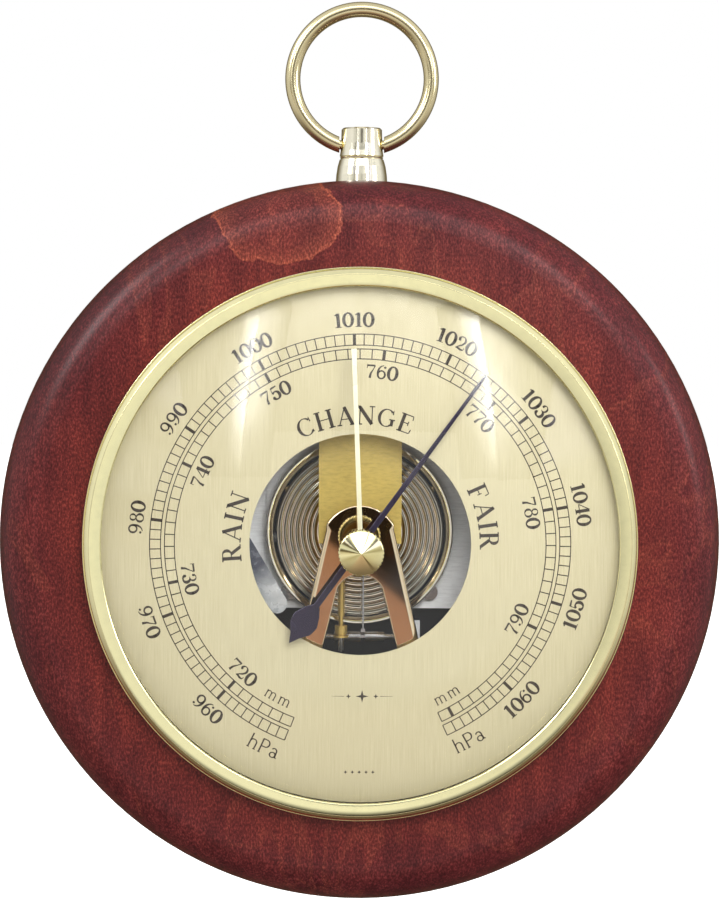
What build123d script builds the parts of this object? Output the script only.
"""A round ship's aneroid barometer, for hanging on a wall.

Millimetres, +Z up. The dial faces -Y, the dial's axis is the Y axis, and the wall is the plane
Y = 0. Depths are given as distances forward of the wall, so a depth of 30 is Y = -30.
"""
import os
from math import cos, radians, sin, sqrt

from build123d import *

os.makedirs("parts", exist_ok=True)

# Wooden ring
WOOD_RADIUS = 85.0
WOOD_DEPTH = 30.0
WOOD_FRONT_ROUND = 10.0
WOOD_BACK_ROUND = 2.0
WOOD_BORE = 61.2
COVER_SEAT = 72.0
COVER_DEPTH = 2.0
COVER_SCREW_CIRCLE = 69.0
CLAMP_SEAT = 66.0
CLAMP_DEPTH = 5.0
CLAMP_SCREW_CIRCLE = 63.8

# Metal case and front
CAN_RADIUS = 61.0
CAN_WALL = 0.6
CAN_BACK = 4.6
CAN_FLOOR = 5.4
FLANGE_RADIUS = 62.0
FLANGE_FRONT = 30.5
BEZEL_RADIUS = 64.5
BEZEL_OPENING = 59.9
GLASS_EDGE = 62.0
GLASS_EDGE_DEPTH = 30.9
GLASS_CENTRE_DEPTH = 42.8
GLASS_THICKNESS = 1.6
GLASS_HOLE = 2.5

# Dial
DIAL_FRONT = 30.0
DIAL_THICKNESS = 0.6
DIAL_RADIUS = 60.3
DIAL_WINDOW = 25.8
PILLAR_CIRCLE = 50.0
PILLAR_ANGLES = (30, 150, 270)

# Movement
BASE_BACK = 8.0
BASE_FRONT = 9.6
BASE_BOTTOM = -17.0
BASE_TOP = 46.0
BASE_HALF_WIDTH = 30.0
BASE_RIB_X = 22.3
BASE_FEET = ((-17, -13), (17, -13), (-17, 38), (17, 38))
CAPSULE_Z = 1.8
CAPSULE_RADIUS = 22.4
CAPSULE_SEAM = 21.1
CAPSULE_FRONT = 15.0
CORRUGATION_PITCH = 1.35
CORRUGATIONS = 8
SPRING_HALF_WIDTH = 9.75
SPRING_THICKNESS = 1.0
SPRING_END_Z = -0.4
SPRING_BEND_Z = 38.0
SPRING_FRONT = 22.0
BRIDGE_FRONT = 27.0
BRIDGE_THICKNESS = 1.0
BRIDGE_RADIUS = 9.05
BRIDGE_SHOULDER = 7.9
BRIDGE_FOOT_Z = -37.0
BRIDGE_FLARE = 13.0
ROD_X = -4.35
ROD_DEPTH = 20.17
ROCKER_DEPTH = 14.5
ROCKER_Z = -23.4
CHAIN_X = 0.80
CHAIN_DEPTH = 24.5
CHAIN_RADIUS = 0.2

# Hands and knob
ARBOR_RADIUS = 0.45
SHAFT_PLAY = 0.05
POINTER_DEPTH = 33.0
POINTER_THICKNESS = 0.3
POINTER_ANGLE = 36.0
SET_HAND_THICKNESS = 0.4
SET_HAND_ANGLE = -2.2
SPINDLE_RADIUS = 1.45
KNOB_RADIUS = 5.15
KNOB_FLUTES = 36

# Hanger
HANGER_DEPTH = 14.0
HANGER_SEAT_Z = 84.4
HEAD_Z = 91.1
HEAD_TOP_Z = 97.7
RING_PIVOT_Z = 93.78
RING_WIRE = 1.8
RING_RADIUS = 16.4
RING_GAP = 5.3
RING_PIN = 1.1


def turn(profile):
    """Revolves a closed outline of (radius, depth) points about the dial's axis."""
    with BuildSketch(Plane.XY) as section:
        with BuildLine():
            Polyline(*[(radius, -depth) for radius, depth in profile], close=True)
        make_face()
    revolve(section.sketch, axis=Axis.Y)


def turn_upright(profile, mode=Mode.ADD):
    """Revolves a closed outline of (radius, height) points about the hanger's upright axis."""
    upright = Plane(origin=(0, -HANGER_DEPTH, 0), x_dir=(1, 0, 0), z_dir=(0, -1, 0))
    with BuildSketch(upright) as section:
        with BuildLine():
            Polyline(*profile, close=True)
        make_face()
    revolve(section.sketch, axis=Axis((0, -HANGER_DEPTH, 0), (0, 0, 1)), mode=mode)


def post(radius, back, front, places=((0, 0),), mode=Mode.ADD):
    """Round posts, or holes, along the dial's axis between two depths."""
    with BuildSketch(Plane.XZ.offset(back)) as section:
        with Locations(*places):
            Circle(radius)
    extrude(section.sketch, amount=front - back, mode=mode)


def plate(width, height, back, front, place=(0, 0), mode=Mode.ADD):
    """A rectangular plate parallel to the wall, centred on place = (x, z)."""
    with BuildSketch(Plane.XZ.offset(back)) as section:
        with Locations(place):
            Rectangle(width, height)
    extrude(section.sketch, amount=front - back, mode=mode)


def outline(points, back, front, mode=Mode.ADD):
    """A flat piece with a straight-sided outline of (x, z) points."""
    with BuildSketch(Plane.XZ.offset(back)) as section:
        with BuildLine():
            Polyline(*points, close=True)
        make_face()
    extrude(section.sketch, amount=front - back, mode=mode)


def on_circle(radius, angles):
    """The (x, z) places at the given angles, in degrees from +X towards +Z."""
    return [(radius * cos(radians(angle)), radius * sin(radians(angle))) for angle in angles]


def turned_hand(points, clock_angle):
    """Turns an outline that points straight up clockwise by clock_angle degrees."""
    angle = radians(clock_angle)
    return [(x * cos(angle) + z * sin(angle), z * cos(angle) - x * sin(angle)) for x, z in points]


# The domed glass is a shell between two spheres with one centre, on the dial's axis.
GLASS_RISE = GLASS_CENTRE_DEPTH - GLASS_EDGE_DEPTH
GLASS_INNER_SPHERE = (GLASS_EDGE**2 + GLASS_RISE**2) / (2 * GLASS_RISE)
GLASS_OUTER_SPHERE = GLASS_INNER_SPHERE + GLASS_THICKNESS
GLASS_SPHERE_DEPTH = GLASS_CENTRE_DEPTH - GLASS_INNER_SPHERE


def glass_depth(sphere, radius):
    """The depth of a surface of the glass's shape at a distance from the dial's axis."""
    return GLASS_SPHERE_DEPTH + sqrt(sphere**2 - radius**2)


def dome_shell(inner_sphere, outer_sphere, hole, edge, mode=Mode.ADD):
    """Revolves a shell of the glass's shape between two spheres, from its hole to its edge."""
    with BuildSketch(Plane.XY) as section:
        with BuildLine():
            radii = (hole, (hole + edge) / 2, edge)
            inner = [(radius, -glass_depth(inner_sphere, radius)) for radius in radii]
            outer = [(radius, -glass_depth(outer_sphere, radius)) for radius in reversed(radii)]
            ThreePointArc(*inner)
            Line(inner[-1], outer[0])
            ThreePointArc(*outer)
            Line(outer[-1], inner[0])
        make_face()
    revolve(section.sketch, axis=Axis.Y, mode=mode)


# ---- Case -------------------------------------------------------------------------------

COVER_SCREWS = on_circle(COVER_SCREW_CIRCLE, (45, 135, 225, 315))
CLAMP_SCREWS = on_circle(CLAMP_SCREW_CIRCLE, (0, 120, 240))
PILLARS = on_circle(PILLAR_CIRCLE, PILLAR_ANGLES)
BRIDGE_POSTS = [(-14.4, -33), (14.4, -33)]
SPRING_SCREWS = [(-6, 32), (6, 32)]
REGULATOR = (0, 40)

with BuildPart() as wood_ring:
    turn([(WOOD_BORE, WOOD_DEPTH), (WOOD_RADIUS, WOOD_DEPTH), (WOOD_RADIUS, 0), (COVER_SEAT, 0),
          (COVER_SEAT, COVER_DEPTH), (CLAMP_SEAT, COVER_DEPTH), (CLAMP_SEAT, CLAMP_DEPTH),
          (WOOD_BORE, CLAMP_DEPTH)])
    outer_edges = wood_ring.edges().filter_by(GeomType.CIRCLE).group_by(lambda e: round(e.radius, 3))[-1]
    fillet(outer_edges.sort_by(Axis.Y)[0], WOOD_FRONT_ROUND)
    outer_edges = wood_ring.edges().filter_by(GeomType.CIRCLE).group_by(lambda e: round(e.radius, 3))[-1]
    fillet(outer_edges.sort_by(Axis.Y)[-1], WOOD_BACK_ROUND)
    turn_upright([(0, HANGER_SEAT_Z), (6.4, HANGER_SEAT_Z), (6.4, 90), (0, 90)], Mode.SUBTRACT)
    turn_upright([(0, 72), (3.5, 72), (3.5, 88), (0, 88)], Mode.SUBTRACT)
    post(1.0, COVER_DEPTH, 12, COVER_SCREWS, Mode.SUBTRACT)
    post(1.0, CLAMP_DEPTH, 14, CLAMP_SCREWS, Mode.SUBTRACT)
wood_ring.part.label = "wood_ring"
export_step(wood_ring.part, "parts/wood_ring.step")


def countersinks(mode):
    """The sunk cones of the cover's screws, wide end behind."""
    with Locations(*[(x, -0.5, z) for x, z in COVER_SCREWS]):
        Cone(2.1, 1.1, 1.0, rotation=(90, 0, 0), mode=mode)


with BuildPart() as back_cover:
    post(COVER_SEAT - 0.3, 0, COVER_DEPTH)
    post(3.5, 0, COVER_DEPTH, [REGULATOR], Mode.SUBTRACT)
    post(1.0, 0, COVER_DEPTH, COVER_SCREWS, Mode.SUBTRACT)
    countersinks(Mode.SUBTRACT)
back_cover.part.label = "back_cover"
export_step(back_cover.part, "parts/back_cover.step")


with BuildPart() as cover_screws:
    post(1.0, 0.5, 12, COVER_SCREWS)
    countersinks(Mode.ADD)
    for screw in COVER_SCREWS:
        plate(3.4, 0.5, 0, 0.5, screw, Mode.SUBTRACT)
cover_screws.part.label = "cover_screws"
export_step(cover_screws.part, "parts/cover_screws.step")

with BuildPart() as can_clamps:
    for angle in (0, 120, 240):
        with BuildSketch(Plane.XZ.offset(3.8)) as pad:
            with Locations(Location((0, 0), angle)):
                with Locations((CLAMP_SCREW_CIRCLE, 0)):
                    Rectangle(3.6, 7)
        extrude(pad.sketch, amount=CLAMP_DEPTH - 3.8)
        with BuildSketch(Plane.XZ.offset(3.4)) as tongue:
            with Locations(Location((0, 0), angle)):
                with Locations((58.5, 0)):
                    Rectangle(7.2, 7)
        extrude(tongue.sketch, amount=CAN_BACK - 3.4)
    post(1.0, 3, 6, CLAMP_SCREWS, Mode.SUBTRACT)
can_clamps.part.label = "can_clamps"
export_step(can_clamps.part, "parts/can_clamps.step")

with BuildPart() as clamp_screws:
    post(1.7, 2.7, 3.8, CLAMP_SCREWS)
    post(1.0, 3.8, 13.8, CLAMP_SCREWS)
    for screw in CLAMP_SCREWS:
        plate(3.4, 0.5, 2.7, 3.2, screw, Mode.SUBTRACT)
clamp_screws.part.label = "clamp_screws"
export_step(clamp_screws.part, "parts/clamp_screws.step")

with BuildPart() as case_can:
    turn([(0, CAN_BACK), (CAN_RADIUS, CAN_BACK), (CAN_RADIUS, WOOD_DEPTH),
          (FLANGE_RADIUS, WOOD_DEPTH), (FLANGE_RADIUS, FLANGE_FRONT),
          (CAN_RADIUS - CAN_WALL, FLANGE_FRONT), (CAN_RADIUS - CAN_WALL, CAN_FLOOR),
          (0, CAN_FLOOR)])
    post(1.0, CAN_BACK, CAN_FLOOR, PILLARS + BRIDGE_POSTS + list(BASE_FEET), Mode.SUBTRACT)
    post(3.0, CAN_BACK, CAN_FLOOR, [REGULATOR], Mode.SUBTRACT)
case_can.part.label = "case_can"
export_step(case_can.part, "parts/case_can.step")

with BuildPart() as bezel:
    turn([(62.1, WOOD_DEPTH), (BEZEL_RADIUS, WOOD_DEPTH), (BEZEL_RADIUS, 31.3), (64.3, 31.6),
          (64.0, 31.6), (63.8, 31.3), (63.55, 31.4), (62.95, 34.0), (62.8, 34.4), (62.4, 34.7),
          (60.2, 34.1), (BEZEL_OPENING, 33.9), (BEZEL_OPENING, 33.5), (62.1, 32.65)])
bezel.part.label = "bezel"
export_step(bezel.part, "parts/bezel.step")

with BuildPart() as glass_seal:
    turn([(60.5, FLANGE_FRONT), (FLANGE_RADIUS, FLANGE_FRONT), (GLASS_EDGE, GLASS_EDGE_DEPTH),
          (60.5, glass_depth(GLASS_INNER_SPHERE, 60.5) - 0.05)])
glass_seal.part.label = "glass_seal"
export_step(glass_seal.part, "parts/glass_seal.step")

with BuildPart() as glass_dome:
    dome_shell(GLASS_INNER_SPHERE, GLASS_OUTER_SPHERE, GLASS_HOLE, GLASS_EDGE)
glass_dome.part.label = "glass_dome"
export_step(glass_dome.part, "parts/glass_dome.step")

GLASS_FRONT = GLASS_CENTRE_DEPTH + GLASS_THICKNESS
with BuildPart() as glass_bush:
    bore = SPINDLE_RADIUS + SHAFT_PLAY
    turn([(bore, 42.0), (4.0, 42.0), (4.0, 42.7), (2.45, 42.7), (2.45, GLASS_FRONT + 0.05),
          (4.2, GLASS_FRONT + 0.05), (4.2, 45.2), (bore, 45.2)])
glass_bush.part.label = "glass_bush"
export_step(glass_bush.part, "parts/glass_bush.step")

with BuildPart() as dial_plate:
    post(DIAL_RADIUS, DIAL_FRONT - DIAL_THICKNESS, DIAL_FRONT)
    post(DIAL_WINDOW, DIAL_FRONT - DIAL_THICKNESS, DIAL_FRONT, mode=Mode.SUBTRACT)
dial_plate.part.label = "dial_plate"
export_step(dial_plate.part, "parts/dial_plate.step")


def machine_screws(places, head_front, length):
    """Small pan-head screws through the case floor, with their heads behind it."""
    post(1.8, head_front - 1.0, head_front, places)
    post(1.0, head_front, head_front + length, places)


with BuildPart() as dial_pillars:
    post(2.5, CAN_FLOOR, DIAL_FRONT - DIAL_THICKNESS, PILLARS)
    post(1.0, CAN_FLOOR, CAN_BACK + 5, PILLARS, Mode.SUBTRACT)
dial_pillars.part.label = "dial_pillars"
export_step(dial_pillars.part, "parts/dial_pillars.step")

with BuildPart() as pillar_screws:
    machine_screws(PILLARS, CAN_BACK, 5)
pillar_screws.part.label = "pillar_screws"
export_step(pillar_screws.part, "parts/pillar_screws.step")

# ---- Movement: fixed pieces -----------------------------------------------------------------

with BuildPart() as base_plate:
    middle_z = (BASE_BOTTOM + BASE_TOP) / 2
    height = BASE_TOP - BASE_BOTTOM
    plate(2 * BASE_RIB_X, height, BASE_BACK, BASE_FRONT, (0, middle_z))
    for side in (-1, 1):
        wing = BASE_HALF_WIDTH - BASE_RIB_X
        plate(wing, height, BASE_BACK - 0.8, BASE_FRONT - 0.8,
              (side * (BASE_RIB_X + wing / 2), middle_z))
    post(1.0, BASE_BACK, BASE_FRONT, list(BASE_FEET) + SPRING_SCREWS, Mode.SUBTRACT)
    post(1.5, BASE_BACK, BASE_FRONT, [(0, CAPSULE_Z)], Mode.SUBTRACT)
base_plate.part.label = "base_plate"
export_step(base_plate.part, "parts/base_plate.step")

with BuildPart() as base_feet:
    post(2.5, CAN_FLOOR, BASE_BACK, BASE_FEET)
    post(1.0, CAN_FLOOR, BASE_BACK, BASE_FEET, Mode.SUBTRACT)
base_feet.part.label = "base_feet"
export_step(base_feet.part, "parts/base_feet.step")

with BuildPart() as base_screws:
    post(1.9, BASE_FRONT, BASE_FRONT + 1.1, BASE_FEET)
    post(1.0, CAN_BACK, BASE_FRONT, BASE_FEET)
    for foot in BASE_FEET:
        plate(3.8, 0.5, BASE_FRONT + 0.6, BASE_FRONT + 1.1, foot, Mode.SUBTRACT)
base_screws.part.label = "base_screws"
export_step(base_screws.part, "parts/base_screws.step")

CAPSULE_AXIS = Axis((0, 0, CAPSULE_Z), (0, 1, 0))


def turn_capsule(profile):
    """Revolves a closed outline of (radius, depth) points about the capsule's own axis."""
    with BuildSketch(Plane.XY.offset(CAPSULE_Z)) as section:
        with BuildLine():
            Polyline(*[(radius, -depth) for radius, depth in profile], close=True)
        make_face()
    revolve(section.sketch, axis=CAPSULE_AXIS)


# Corrugations run from the flat middle of the diaphragm out to its rim.
crest_radii = [8.2 + CORRUGATION_PITCH * step for step in range(CORRUGATIONS + 1)]
DIAPHRAGM = 0.4
DIAPHRAGM_WAVE = 0.9
diaphragm_line = [(0, CAPSULE_FRONT), (7.2, CAPSULE_FRONT)]
for crest in crest_radii:
    diaphragm_line += [(crest - CORRUGATION_PITCH / 2, CAPSULE_FRONT - DIAPHRAGM_WAVE),
                       (crest, CAPSULE_FRONT - 0.1)]
diaphragm_line += [(20.4, 12.6), (CAPSULE_SEAM, 12.6)]

with BuildPart() as capsule_front:
    lower_line = [(radius, depth - DIAPHRAGM) for radius, depth in reversed(diaphragm_line)]
    turn_capsule(diaphragm_line + lower_line)
capsule_front.part.label = "capsule_front"
export_step(capsule_front.part, "parts/capsule_front.step")

with BuildPart() as capsule_rear:
    turn_capsule([(0, 9.9), (19.4, 9.9), (20.4, 11.2), (CAPSULE_SEAM, 11.2), (CAPSULE_SEAM, 11.6),
                  (20.1, 11.6), (19.1, 10.3), (0, 10.3)])
capsule_rear.part.label = "capsule_rear"
export_step(capsule_rear.part, "parts/capsule_rear.step")

with BuildPart() as capsule_rim:
    turn_capsule([(CAPSULE_SEAM, 10.9), (22.0, 10.9), (CAPSULE_RADIUS, 11.4), (CAPSULE_RADIUS, 12.5),
                  (22.0, 13.0), (CAPSULE_SEAM, 13.0)])
capsule_rim.part.label = "capsule_rim"
export_step(capsule_rim.part, "parts/capsule_rim.step")

with BuildPart() as capsule_stud:
    post(1.5, 6.2, 9.9, [(0, CAPSULE_Z)])
    post(3.0, 9.6, 9.9, [(0, CAPSULE_Z)])
capsule_stud.part.label = "capsule_stud"
export_step(capsule_stud.part, "parts/capsule_stud.step")

with BuildPart() as capsule_nut:
    with BuildSketch(Plane.XZ.offset(6.4)) as hexagon:
        with Locations((0, CAPSULE_Z)):
            RegularPolygon(3.2, 6)
            Circle(1.5, mode=Mode.SUBTRACT)
    extrude(amount=BASE_BACK - 6.4)
capsule_nut.part.label = "capsule_nut"
export_step(capsule_nut.part, "parts/capsule_nut.step")

# The main spring is a bent strip. Its foot is clamped, and the rest flexes at the bend.
SPRING_MID = SPRING_FRONT - SPRING_THICKNESS / 2
FOOT_MID = BASE_FRONT + SPRING_THICKNESS / 2
SPRING_BEND = (SPRING_MID - FOOT_MID) / 2
SPRING_CENTRE = (SPRING_MID + FOOT_MID) / 2
SPRING_GAP = 0.1

with BuildPart() as spring_foot:
    plate(2 * SPRING_HALF_WIDTH, 9.8, BASE_FRONT, BASE_FRONT + SPRING_THICKNESS,
          (0, SPRING_BEND_Z - SPRING_GAP - 4.9))
    post(1.0, BASE_FRONT, BASE_FRONT + SPRING_THICKNESS, SPRING_SCREWS, Mode.SUBTRACT)
spring_foot.part.label = "spring_foot"
export_step(spring_foot.part, "parts/spring_foot.step")

with BuildPart() as spring_clamp:
    plate(2 * SPRING_HALF_WIDTH, 7, BASE_FRONT + SPRING_THICKNESS, 12.2, (0, 32))
    post(1.0, 10, 13, SPRING_SCREWS, Mode.SUBTRACT)
spring_clamp.part.label = "spring_clamp"
export_step(spring_clamp.part, "parts/spring_clamp.step")

with BuildPart() as spring_screws:
    post(1.9, 12.2, 13.4, SPRING_SCREWS)
    post(1.0, BASE_BACK, 12.2, SPRING_SCREWS)
spring_screws.part.label = "spring_screws"
export_step(spring_screws.part, "parts/spring_screws.step")

# The bridge is a pressed A-shaped plate with its outer edges folded back.
FLARE = sin(radians(BRIDGE_FLARE)) / cos(radians(BRIDGE_FLARE))
SHOULDER_Z = sqrt(BRIDGE_RADIUS**2 - BRIDGE_SHOULDER**2)
LEG_TOP_Z = 3.2
ARCH_TOP_Z = -7.3
ARCH_SIDE = (5.2, -10.4)
ARCH_SLOPE = 3.2 / 13.0


def leg_outer(z):
    """The outer half-width of the bridge's legs at a height."""
    return BRIDGE_SHOULDER + (LEG_TOP_Z - z) * FLARE


def leg_inner(z):
    """The half-width of the opening between the legs at a height."""
    return ARCH_SIDE[0] + (ARCH_SIDE[1] - z) * ARCH_SLOPE


with BuildPart() as bridge:
    with BuildSketch(Plane.XZ.offset(BRIDGE_FRONT - BRIDGE_THICKNESS)) as bridge_outline:
        with BuildLine():
            ThreePointArc((-BRIDGE_SHOULDER, SHOULDER_Z), (0, BRIDGE_RADIUS), (BRIDGE_SHOULDER, SHOULDER_Z))
            Polyline((BRIDGE_SHOULDER, SHOULDER_Z), (BRIDGE_SHOULDER, LEG_TOP_Z),
                     (leg_outer(BRIDGE_FOOT_Z), BRIDGE_FOOT_Z), (leg_inner(BRIDGE_FOOT_Z), BRIDGE_FOOT_Z),
                     ARCH_SIDE)
            ThreePointArc(ARCH_SIDE, (0, ARCH_TOP_Z), (-ARCH_SIDE[0], ARCH_SIDE[1]))
            Polyline((-ARCH_SIDE[0], ARCH_SIDE[1]), (-leg_inner(BRIDGE_FOOT_Z), BRIDGE_FOOT_Z),
                     (-leg_outer(BRIDGE_FOOT_Z), BRIDGE_FOOT_Z), (-BRIDGE_SHOULDER, LEG_TOP_Z),
                     (-BRIDGE_SHOULDER, SHOULDER_Z))
        make_face()
    extrude(amount=BRIDGE_THICKNESS)
    for side in (-1, 1):
        flange_top, flange_bottom = LEG_TOP_Z, -29.0
        outline([(side * leg_outer(flange_top), flange_top),
                 (side * leg_outer(flange_bottom), flange_bottom),
                 (side * (leg_outer(flange_bottom) - 0.8), flange_bottom),
                 (side * (leg_outer(flange_top) - 0.8), flange_top)], 23.2, BRIDGE_FRONT - 0.5)
    post(1.05, BRIDGE_FRONT - BRIDGE_THICKNESS, BRIDGE_FRONT, BRIDGE_POSTS, Mode.SUBTRACT)
    post(1.6, BRIDGE_FRONT - BRIDGE_THICKNESS, BRIDGE_FRONT, mode=Mode.SUBTRACT)
bridge.part.label = "bridge"
export_step(bridge.part, "parts/bridge.step")

with BuildPart() as bridge_pillars:
    post(2.4, CAN_FLOOR, BRIDGE_FRONT - BRIDGE_THICKNESS, BRIDGE_POSTS)
    post(1.0, CAN_FLOOR, CAN_BACK + 5, BRIDGE_POSTS, Mode.SUBTRACT)
    post(1.0, 20, BRIDGE_FRONT - BRIDGE_THICKNESS, BRIDGE_POSTS, Mode.SUBTRACT)
bridge_pillars.part.label = "bridge_pillars"
export_step(bridge_pillars.part, "parts/bridge_pillars.step")

with BuildPart() as bridge_screws:
    post(1.7, BRIDGE_FRONT, BRIDGE_FRONT + 0.9, BRIDGE_POSTS)
    post(1.0, 20, BRIDGE_FRONT, BRIDGE_POSTS)
    machine_screws(BRIDGE_POSTS, CAN_BACK, 5)
bridge_screws.part.label = "bridge_screws"
export_step(bridge_screws.part, "parts/bridge_screws.step")

ARBOR_BORE = ARBOR_RADIUS + SHAFT_PLAY
with BuildPart() as bridge_bush:
    turn([(ARBOR_BORE, 25.8), (1.6, 25.8), (1.6, BRIDGE_FRONT), (3.2, BRIDGE_FRONT),
          (3.2, BRIDGE_FRONT + 0.5), (2.9, BRIDGE_FRONT + 0.7), (ARBOR_BORE, BRIDGE_FRONT + 0.7)])
bridge_bush.part.label = "bridge_bush"
export_step(bridge_bush.part, "parts/bridge_bush.step")

with BuildPart() as arbor_cock:
    plate(13, 4.4, 22.9, 23.7)
    post(0.9, 23.7, BRIDGE_FRONT - BRIDGE_THICKNESS, [(-5.4, 0), (5.4, 0)])
    post(ARBOR_BORE, 22.9, 23.7, mode=Mode.SUBTRACT)
arbor_cock.part.label = "arbor_cock"
export_step(arbor_cock.part, "parts/arbor_cock.step")

# The hairspring is a flat spiral of half circles, fixed at its outer end.
HAIRSPRING_BACK, HAIRSPRING_FRONT = 25.1, 25.4
with BuildPart() as hairspring:
    with BuildSketch(Plane.XZ.offset(HAIRSPRING_BACK)) as coils:
        with BuildLine():
            start, radius, side, centre = 1.6, 1.6, 1, 0.0
            while radius < 3.9:
                left, right = centre - radius, centre + radius
                ends = (left, right) if side > 0 else (right, left)
                ThreePointArc((ends[0], 0), (centre, side * radius), (ends[1], 0))
                radius += 0.2
                centre += side * -0.2
                side = -side
        trace(line_width=0.15)
    extrude(amount=HAIRSPRING_FRONT - HAIRSPRING_BACK)
hairspring.part.label = "hairspring"
export_step(hairspring.part, "parts/hairspring.step")

with BuildPart() as rocker_brackets:
    for side in (-1, 1):
        plate(1.2, 6.0, CAN_FLOOR, 17.0, (side * 11.2, ROCKER_Z))
        plate(4.2, 6.0, CAN_FLOOR, CAN_FLOOR + 1.0, (side * 12.7, ROCKER_Z))
    with Locations((0, -ROCKER_DEPTH, ROCKER_Z)):
        Cylinder(0.8 + SHAFT_PLAY, 30, rotation=(0, 90, 0), mode=Mode.SUBTRACT)
rocker_brackets.part.label = "rocker_brackets"
export_step(rocker_brackets.part, "parts/rocker_brackets.step")

TONGUE_END = (-19.6, -15.1)
TONGUE_ROOT = (-28.0, -1.0)
with BuildPart() as capsule_tongue:
    with BuildSketch(Plane.XZ.offset(17.0)) as tongue_outline:
        SlotCenterPoint(((TONGUE_END[0] + TONGUE_ROOT[0]) / 2, (TONGUE_END[1] + TONGUE_ROOT[1]) / 2),
                        TONGUE_END, 4.8)
    extrude(amount=0.6)
    post(1.6, BASE_FRONT - 0.8, 17.0, [TONGUE_ROOT])
capsule_tongue.part.label = "capsule_tongue"
export_step(capsule_tongue.part, "parts/capsule_tongue.step")

with BuildPart() as regulator_bush:
    post(3.0, CAN_BACK, 7.0, [REGULATOR])
    post(4.2, 3.8, CAN_BACK, [REGULATOR])
    post(2.05, 3.8, 7.0, [REGULATOR], Mode.SUBTRACT)
regulator_bush.part.label = "regulator_bush"
export_step(regulator_bush.part, "parts/regulator_bush.step")

# ---- Movement: moving pieces ----------------------------------------------------------------

with BuildPart() as main_spring:
    with BuildSketch(Plane.YZ.offset(-SPRING_HALF_WIDTH)) as spring_side:
        with BuildLine() as spring_line:
            Line((-SPRING_MID, SPRING_END_Z), (-SPRING_MID, SPRING_BEND_Z))
            ThreePointArc((-SPRING_MID, SPRING_BEND_Z), (-SPRING_CENTRE, SPRING_BEND_Z + SPRING_BEND),
                          (-FOOT_MID, SPRING_BEND_Z))
        trace(line_width=SPRING_THICKNESS)
    extrude(amount=2 * SPRING_HALF_WIDTH)
main_spring.part.label = "main_spring"
export_step(main_spring.part, "parts/main_spring.step")

POST_GAP = 0.35
with BuildPart() as capsule_post:
    post(4.0, CAPSULE_FRONT + POST_GAP, CAPSULE_FRONT + POST_GAP + 0.8, [(0, CAPSULE_Z)])
    post(1.4, CAPSULE_FRONT + POST_GAP + 0.8, SPRING_FRONT - SPRING_THICKNESS, [(0, CAPSULE_Z)])
capsule_post.part.label = "capsule_post"
export_step(capsule_post.part, "parts/capsule_post.step")


def upright_rod(radius, bottom, top):
    """A round length of the upright link rod."""
    with BuildSketch(Plane.XY.offset(bottom)) as section:
        with Locations((ROD_X, -ROD_DEPTH)):
            Circle(radius)
    extrude(section.sketch, amount=top - bottom)


with BuildPart() as link_rod:
    upright_rod(0.82, -17.7, 6.0)
    upright_rod(0.55, -20.0, -17.7)
link_rod.part.label = "link_rod"
export_step(link_rod.part, "parts/link_rod.step")

with BuildPart() as link_bush:
    upright_rod(1.5, -22.0, -20.0)
    upright_rod(1.8, -22.8, -22.3)
    upright_rod(1.1, -22.3, -22.0)
link_bush.part.label = "link_bush"
export_step(link_bush.part, "parts/link_bush.step")

with BuildPart() as link_pin:
    upright_rod(0.35, -26.2, -22.8)
link_pin.part.label = "link_pin"
export_step(link_pin.part, "parts/link_pin.step")

with BuildPart() as rocker_shaft:
    with Locations((0, -ROCKER_DEPTH, ROCKER_Z)):
        Cylinder(0.8, 25, rotation=(0, 90, 0))
rocker_shaft.part.label = "rocker_shaft"
export_step(rocker_shaft.part, "parts/rocker_shaft.step")

FINGER_FRONT = ROD_DEPTH - 0.35 - 0.3
with BuildPart() as rocker_arm:
    with BuildSketch(Plane.YZ.offset(CHAIN_X - 0.5)):
        with BuildLine():
            Polyline((-ROCKER_DEPTH, ROCKER_Z - 1.4), (-ROCKER_DEPTH, ROCKER_Z + 1.4),
                     (-CHAIN_DEPTH - 0.6, -21.7), (-CHAIN_DEPTH - 0.6, -22.3), close=True)
        make_face()
    extrude(amount=1.0)
    with BuildSketch(Plane.YZ.offset(ROD_X - 0.6)):
        with BuildLine():
            Polyline((-ROCKER_DEPTH, ROCKER_Z - 1.3), (-ROCKER_DEPTH, ROCKER_Z + 1.3),
                     (-FINGER_FRONT, -24.9), (-FINGER_FRONT, -26.0), close=True)
        make_face()
    extrude(amount=1.2)
    with Locations((0, -ROCKER_DEPTH, ROCKER_Z)):
        Cylinder(1.4, 12, rotation=(0, 90, 0))
        Cylinder(0.8, 14, rotation=(0, 90, 0), mode=Mode.SUBTRACT)
rocker_arm.part.label = "rocker_arm"
export_step(rocker_arm.part, "parts/rocker_arm.step")

with BuildPart() as chain:
    with BuildSketch(Plane.XY.offset(-21.0)):
        with Locations((CHAIN_X, -CHAIN_DEPTH)):
            Circle(CHAIN_RADIUS)
    extrude(amount=21.2)
    with Locations((CHAIN_X, -CHAIN_DEPTH, -20.6)):
        Box(1.0, 1.0, 0.8)
chain.part.label = "chain"
export_step(chain.part, "parts/chain.step")

with BuildPart() as arbor:
    post(ARBOR_RADIUS, 22.7, 34.0)
arbor.part.label = "arbor"
export_step(arbor.part, "parts/arbor.step")

with BuildPart() as chain_drum:
    turn([(ARBOR_RADIUS, 23.9), (0.55, 23.9), (0.55, 24.9), (1.2, 24.9), (1.2, 25.5), (ARBOR_RADIUS, 25.5)])
chain_drum.part.label = "chain_drum"
export_step(chain_drum.part, "parts/chain_drum.step")

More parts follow.
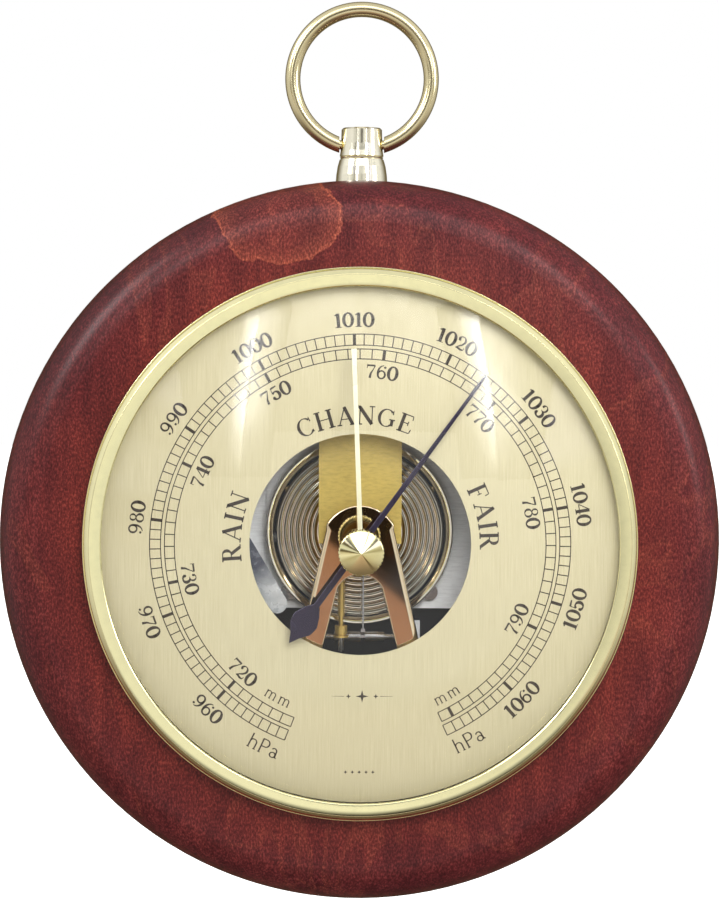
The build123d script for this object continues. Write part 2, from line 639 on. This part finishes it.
HUB_CORE = 0.9
with BuildPart() as pointer_hub:
    pointer_front = POINTER_DEPTH + POINTER_THICKNESS
    turn([(ARBOR_RADIUS, 31.6), (1.3, 31.6), (1.3, POINTER_DEPTH), (HUB_CORE, POINTER_DEPTH),
          (HUB_CORE, pointer_front), (2.0, pointer_front), (1.7, 34.0), (ARBOR_RADIUS, 34.0)])
pointer_hub.part.label = "pointer_hub"
export_step(pointer_hub.part, "parts/pointer_hub.step")

# The pointer's long blade tapers to its tip, and its tail ends in a spade.
BLADE = [(-0.75, 0), (-0.55, 25), (-0.35, 48.4), (0, 49.2), (0.35, 48.4), (0.55, 25), (0.75, 0)]
SPADE = [(0.75, -17.6), (3.2, -21.4), (2.6, -24.4), (0, -28.0), (-2.6, -24.4), (-3.2, -21.4), (-0.75, -17.6)]
with BuildPart() as pointer:
    outline(turned_hand(BLADE + SPADE, POINTER_ANGLE), POINTER_DEPTH, POINTER_DEPTH + POINTER_THICKNESS)
    post(2.0, POINTER_DEPTH, POINTER_DEPTH + POINTER_THICKNESS)
    post(HUB_CORE, POINTER_DEPTH, POINTER_DEPTH + POINTER_THICKNESS, mode=Mode.SUBTRACT)
pointer.part.label = "pointer"
export_step(pointer.part, "parts/pointer.step")

with BuildPart() as regulator_screw:
    post(2.0, 3.0, 7.4, [REGULATOR])
    plate(4.0, 0.6, 3.0, 3.9, REGULATOR, Mode.SUBTRACT)
regulator_screw.part.label = "regulator_screw"
export_step(regulator_screw.part, "parts/regulator_screw.step")

# ---- Setting hand and knob --------------------------------------------------------------------

# The setting hand is bent to follow the inside of the glass.
SET_HAND_INNER = GLASS_INNER_SPHERE - 1.6
SET_HAND_OUTER = SET_HAND_INNER + SET_HAND_THICKNESS
with BuildPart() as set_hand:
    outline(turned_hand([(-0.55, 0), (-0.5, 42), (-0.62, 45.6), (0.62, 45.6), (0.5, 42), (0.55, 0)],
                        SET_HAND_ANGLE), 30, 43)
    post(2.6, 30, 43)
    dome_shell(SET_HAND_INNER, SET_HAND_OUTER, SPINDLE_RADIUS, GLASS_EDGE, Mode.INTERSECT)
set_hand.part.label = "set_hand"
export_step(set_hand.part, "parts/set_hand.step")

with BuildPart() as friction_washer:
    turn([(SPINDLE_RADIUS, 41.6), (2.3, 41.6), (2.3, 41.7), (2.0, 41.9), (SPINDLE_RADIUS, 41.9)])
friction_washer.part.label = "friction_washer"
export_step(friction_washer.part, "parts/friction_washer.step")

KNOB_RIM_BACK, KNOB_RIM_FRONT, KNOB_APEX = 47.2, 52.1, 53.9
with BuildPart() as knob_spindle:
    post(SPINDLE_RADIUS, 40.7, 50.0)
knob_spindle.part.label = "knob_spindle"
export_step(knob_spindle.part, "parts/knob_spindle.step")

with BuildPart() as knob:
    turn([(0, 45.5), (3.3, 45.5), (3.3, 46.6), (4.8, KNOB_RIM_BACK), (KNOB_RADIUS, KNOB_RIM_BACK + 0.3),
          (KNOB_RADIUS, KNOB_RIM_FRONT - 0.3), (4.9, KNOB_RIM_FRONT), (0, KNOB_APEX)])
    flutes = on_circle(KNOB_RADIUS + 0.12, [360 * flute / KNOB_FLUTES for flute in range(KNOB_FLUTES)])
    post(0.27, KNOB_RIM_BACK, KNOB_RIM_FRONT + 0.2, flutes, Mode.SUBTRACT)
    post(SPINDLE_RADIUS, 45, 50, mode=Mode.SUBTRACT)
knob.part.label = "knob"
export_step(knob.part, "parts/knob.step")

# ---- Hanger -------------------------------------------------------------------------------------

with BuildPart() as hanger_ferrule:
    turn_upright([(2.0, HANGER_SEAT_Z), (6.15, HANGER_SEAT_Z), (6.0, 86.6), (5.7, 88.6), (5.25, 90.2),
                  (4.95, 90.4), (5.15, 90.7), (5.0, 90.9), (2.0, 90.9)])
hanger_ferrule.part.label = "hanger_ferrule"
export_step(hanger_ferrule.part, "parts/hanger_ferrule.step")

with BuildPart() as hanger_head:
    turn_upright([(0, 90.9), (4.8, 90.9), (5.2, HEAD_Z), (5.0, 92.3), (4.88, 94.0), (4.8, 97.3),
                  (4.4, HEAD_TOP_Z), (0, HEAD_TOP_Z + 0.15)])
    turn_upright([(0, 90), (2.0, 90), (2.0, 92.0), (0, 92.0)], Mode.SUBTRACT)
    with Locations((0, -HANGER_DEPTH, RING_PIVOT_Z)):
        Cylinder(RING_PIN + SHAFT_PLAY, 14, rotation=(0, 90, 0), mode=Mode.SUBTRACT)
hanger_head.part.label = "hanger_head"
export_step(hanger_head.part, "parts/hanger_head.step")

with BuildPart() as hanger_stud:
    turn_upright([(0, 72.4), (1.6, 72.4), (2.0, 72.8), (2.0, 92.0), (0, 92.0)])
hanger_stud.part.label = "hanger_stud"
export_step(hanger_stud.part, "parts/hanger_stud.step")

with BuildPart() as hanger_insert:
    turn_upright([(2.0, 72.4), (3.5, 72.4), (3.5, 82.4), (2.0, 82.4)])
hanger_insert.part.label = "hanger_insert"
export_step(hanger_insert.part, "parts/hanger_insert.step")

# The ring is round wire with a gap at the bottom, and a thin pin at each end of the gap.
RING_CENTRE_Z = RING_PIVOT_Z + sqrt(RING_RADIUS**2 - RING_GAP**2)
with BuildPart() as hanging_ring:
    with Locations((0, -HANGER_DEPTH, RING_CENTRE_Z)):
        Torus(RING_RADIUS, RING_WIRE, rotation=(90, 0, 0))
    with Locations((0, -HANGER_DEPTH, RING_PIVOT_Z)):
        Box(2 * RING_GAP, 8, 8, mode=Mode.SUBTRACT)
    for side in (-1, 1):
        with Locations((side * (RING_GAP / 2 + 1.1), -HANGER_DEPTH, RING_PIVOT_Z)):
            Cylinder(RING_PIN, RING_GAP - 2.2, rotation=(0, 90, 0))
hanging_ring.part.label = "hanging_ring"
export_step(hanging_ring.part, "parts/hanging_ring.step")
